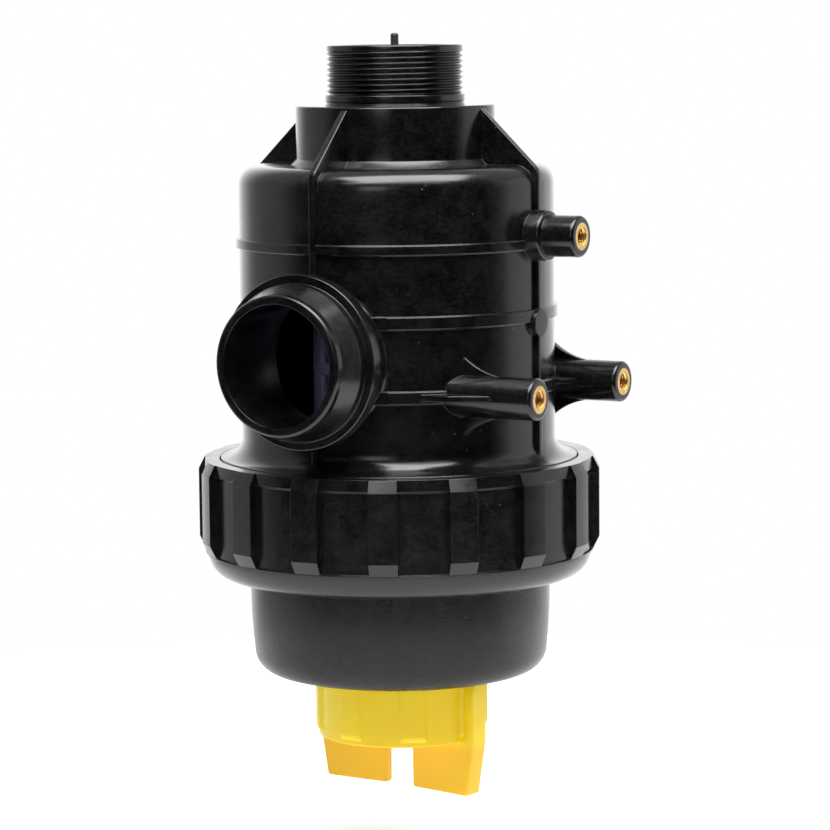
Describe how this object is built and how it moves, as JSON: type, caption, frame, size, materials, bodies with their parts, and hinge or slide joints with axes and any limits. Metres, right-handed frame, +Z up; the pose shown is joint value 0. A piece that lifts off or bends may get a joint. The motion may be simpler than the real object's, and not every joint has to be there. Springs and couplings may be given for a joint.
{
  "type": "suction filter",
  "caption": "Upright black suction filter with threaded inlet on top, side hose outlet, screw-on bowl, mesh cartridge and a shut-off valve worked by a yellow winged knob.",
  "frame": {"origin": "centre of the inlet port's rim, on the axis of the housing", "axes": "+Z up along the housing's axis and out of the inlet; the outlet points along -Y; the mounting bosses point along +X"},
  "size_m": [0.1804, 0.1899, 0.3344],
  "materials": {
    "housing_plastic": "black glass-filled plastic, satin, moulded",
    "nut_plastic": "black glass-filled plastic, dull with fine grain",
    "bowl_plastic": "black glass-filled plastic, dull with fine grain",
    "yellow_plastic": "yellow plastic, semi-gloss",
    "cartridge_plastic": "blue-violet plastic, satin",
    "valve_plastic": "black plastic, satin",
    "stem_plastic": "black plastic, satin",
    "brass": "turned brass",
    "rubber": "black rubber, matt",
    "steel": "stainless steel",
    "rod_steel": "drawn stainless steel bar",
    "steel_mesh": "woven stainless steel wire"
  },
  "bodies": {
    "housing": {"housing": "housing_plastic", "threaded_inserts": "brass", "valve_guide": "valve_plastic", "valve_seat": "valve_plastic", "seat_o_ring": "rubber"},
    "bowl": {"bowl": "bowl_plastic", "bowl_o_ring": "rubber", "cartridge_top_ring": "cartridge_plastic", "cartridge_top_o_ring": "rubber", "cartridge_cage": "cartridge_plastic", "filter_mesh": "steel_mesh", "cartridge_bottom_ring": "cartridge_plastic", "post_o_ring": "rubber"},
    "ring_nut": {"ring_nut": "nut_plastic"},
    "rod": {"push_rod": "rod_steel", "rod_clip": "steel"},
    "knob": {"valve_knob": "yellow_plastic", "knob_o_ring": "rubber"},
    "valve": {"valve_stem": "stem_plastic", "valve_disc": "valve_plastic", "valve_washer": "rubber", "washer_retainer": "steel", "stem_nut": "steel", "valve_spring": "steel"}
  },
  "joints": [
    {"name": "bowl_drop", "type": "slide", "parent": "housing", "child": "bowl", "axis": [0, 0, -1], "range_m": [0, 0.018]},
    {"name": "nut_turn", "type": "hinge", "parent": "bowl", "child": "ring_nut", "pos_m": [0, 0, -0.2], "axis": [0, 0, -1], "range_deg": [0, 1081]},
    {"name": "rod_slide", "type": "slide", "parent": "bowl", "child": "rod", "axis": [0, 0, -1], "range_m": [0, 0.013]},
    {"name": "knob_turn", "type": "hinge", "parent": "rod", "child": "knob", "pos_m": [0, 0, -0.29], "axis": [0, 0, -1], "range_deg": [0, 721]},
    {"name": "valve_lift", "type": "slide", "parent": "housing", "child": "valve", "axis": [0, 0, -1], "range_m": [0, 0.013], "stiffness_N_per_m": 300, "springref_m": 0.03, "deforming": ["valve_spring"]}
  ],
  "couplings": [
    {"joint": "nut_turn", "follows": "bowl_drop", "rad_per_m": 1047.2},
    {"joint": "knob_turn", "follows": "rod_slide", "rad_per_m": 966.64},
    {"joint": "valve_lift", "follows": "rod_slide", "ratio": 1}
  ]
}
